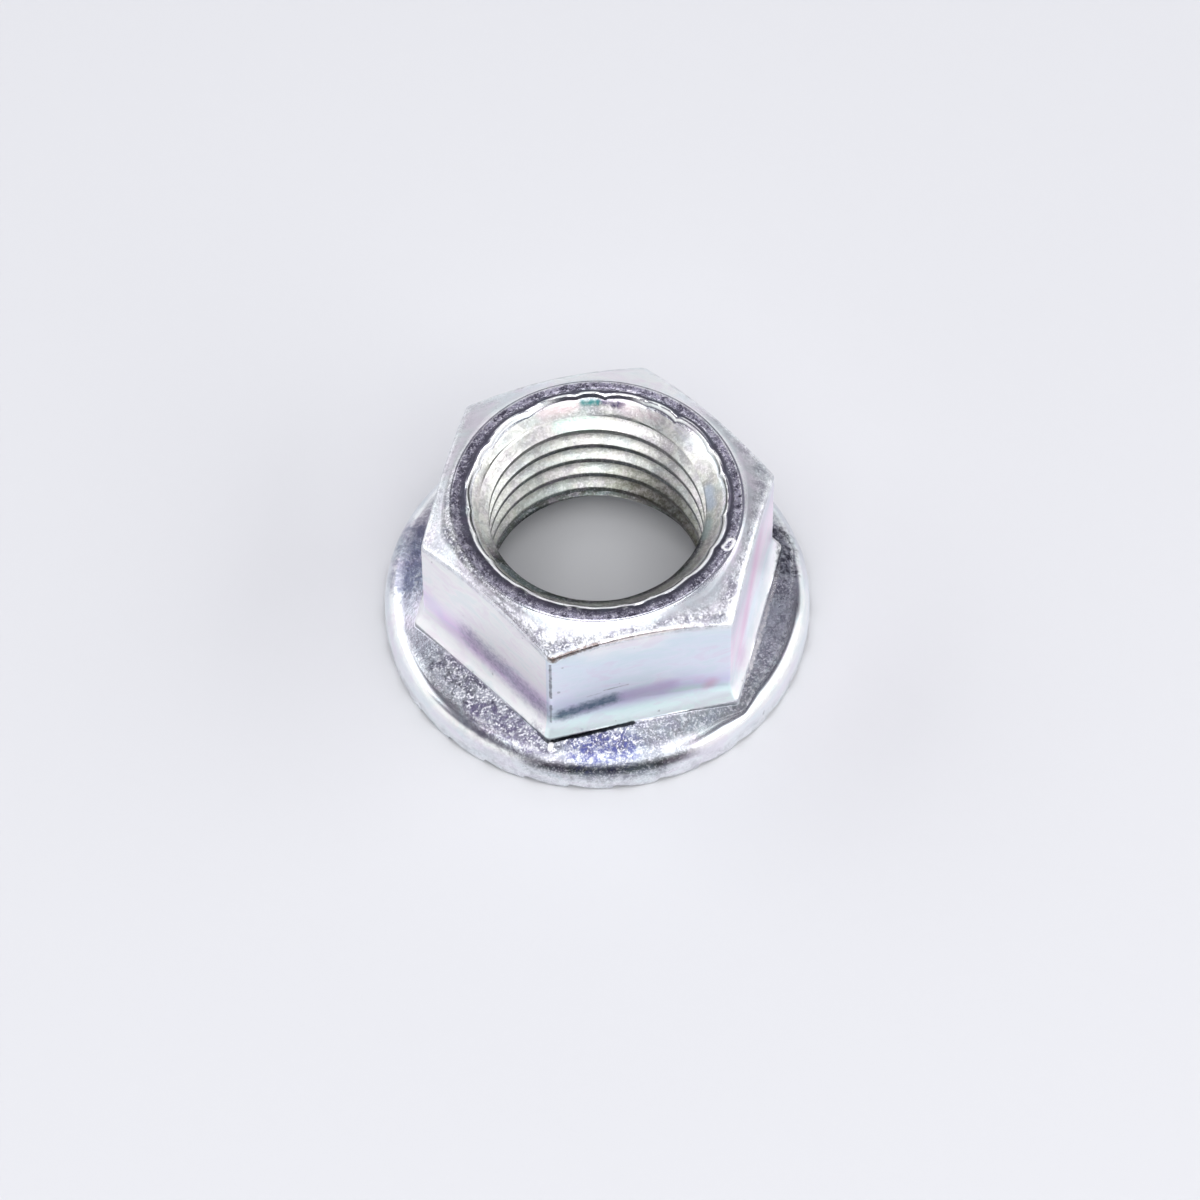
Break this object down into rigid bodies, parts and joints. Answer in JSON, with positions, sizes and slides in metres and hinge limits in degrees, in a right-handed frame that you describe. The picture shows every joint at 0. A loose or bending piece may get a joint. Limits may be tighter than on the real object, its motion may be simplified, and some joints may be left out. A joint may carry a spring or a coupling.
{
  "type": "serrated flange nut",
  "caption": "Hexagon nut formed in one piece with a wide sloping flange, whose underside is serrated to resist loosening.",
  "frame": {"origin": "centre of the bearing plane, on the thread axis, where the serrations' crests touch a flat surface", "axes": "+Z along the thread axis from the bearing side towards the crown; two flats face +Y and -Y, two corners lie on +X and -X"},
  "size_m": [0.0214, 0.0214, 0.0099],
  "materials": {
    "zinc_plate": "bright blue-white zinc plating"
  },
  "bodies": {
    "root": {"flange_nut": "zinc_plate"}
  },
  "joints": []
}
